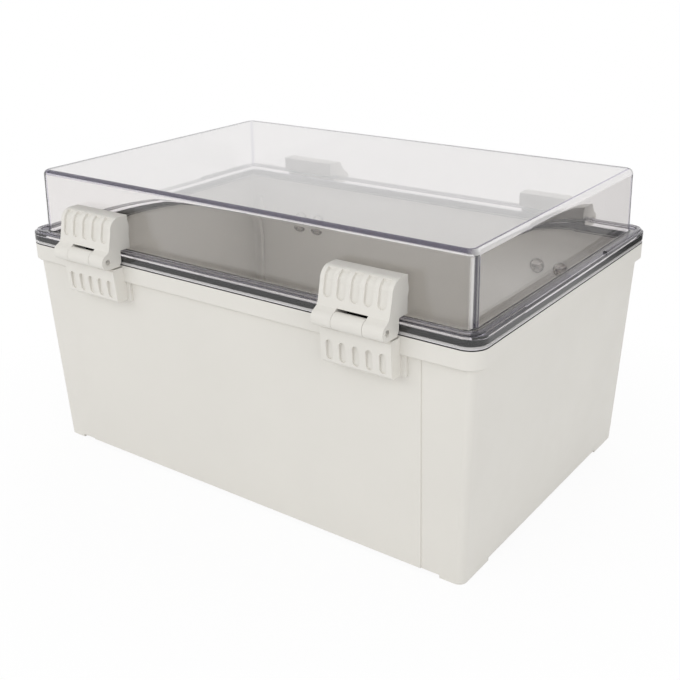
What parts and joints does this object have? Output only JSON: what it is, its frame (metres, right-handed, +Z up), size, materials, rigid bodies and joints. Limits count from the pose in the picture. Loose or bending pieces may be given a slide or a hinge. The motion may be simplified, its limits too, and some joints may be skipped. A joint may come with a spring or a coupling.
{
  "type": "hinged enclosure",
  "caption": "Moulded electrical enclosure with a drafted base, a tall clear cover on rear hinges, and front latches that hook over the cover's flange.",
  "frame": {"origin": "middle of the outline at the underside of the feet, cover shut", "axes": "+X left to right along the front, +Y from the latches to the hinges, +Z up"},
  "size_m": [0.31, 0.2388, 0.1755],
  "materials": {
    "base_plastic": "fine matt moulded",
    "latch_plastic": "fine matt moulded",
    "clear_plastic": "clear, polished",
    "gasket_rubber": "foamed, matt",
    "pin_steel": "drawn",
    "screw_steel": "bright plated",
    "brass": "turned"
  },
  "bodies": {
    "base": {"base_tub": "base_plastic", "floor_inserts": "brass", "latch_bracket_left": "latch_plastic", "latch_screws_left": "screw_steel", "latch_washers_left": "screw_steel", "hinge_base_leaf_left": "latch_plastic", "hinge_screws_left": "screw_steel", "hinge_washers_left": "screw_steel", "latch_bracket_right": "latch_plastic", "latch_screws_right": "screw_steel", "latch_washers_right": "screw_steel", "hinge_base_leaf_right": "latch_plastic", "hinge_screws_right": "screw_steel", "hinge_washers_right": "screw_steel"},
    "cover": {"cover": "clear_plastic", "gasket": "gasket_rubber", "hinge_cover_leaf_left": "latch_plastic", "hinge_pin_left": "pin_steel", "hinge_cover_leaf_right": "latch_plastic", "hinge_pin_right": "pin_steel"},
    "latch_left": {"latch_hook_left": "latch_plastic", "latch_pin_left": "pin_steel"},
    "latch_right": {"latch_hook_right": "latch_plastic", "latch_pin_right": "pin_steel"}
  },
  "joints": [
    {"name": "cover_hinge", "type": "hinge", "parent": "base", "child": "cover", "pos_m": [0, 0.115, 0.1356], "axis": [-1, 0, 0], "range_deg": [0, 180]},
    {"name": "latch_left_swing", "type": "hinge", "parent": "base", "child": "latch_left", "pos_m": [-0.093, -0.115, 0.1356], "axis": [1, 0, 0], "range_deg": [0, 180]},
    {"name": "latch_right_swing", "type": "hinge", "parent": "base", "child": "latch_right", "pos_m": [0.093, -0.115, 0.1356], "axis": [1, 0, 0], "range_deg": [0, 180]}
  ]
}
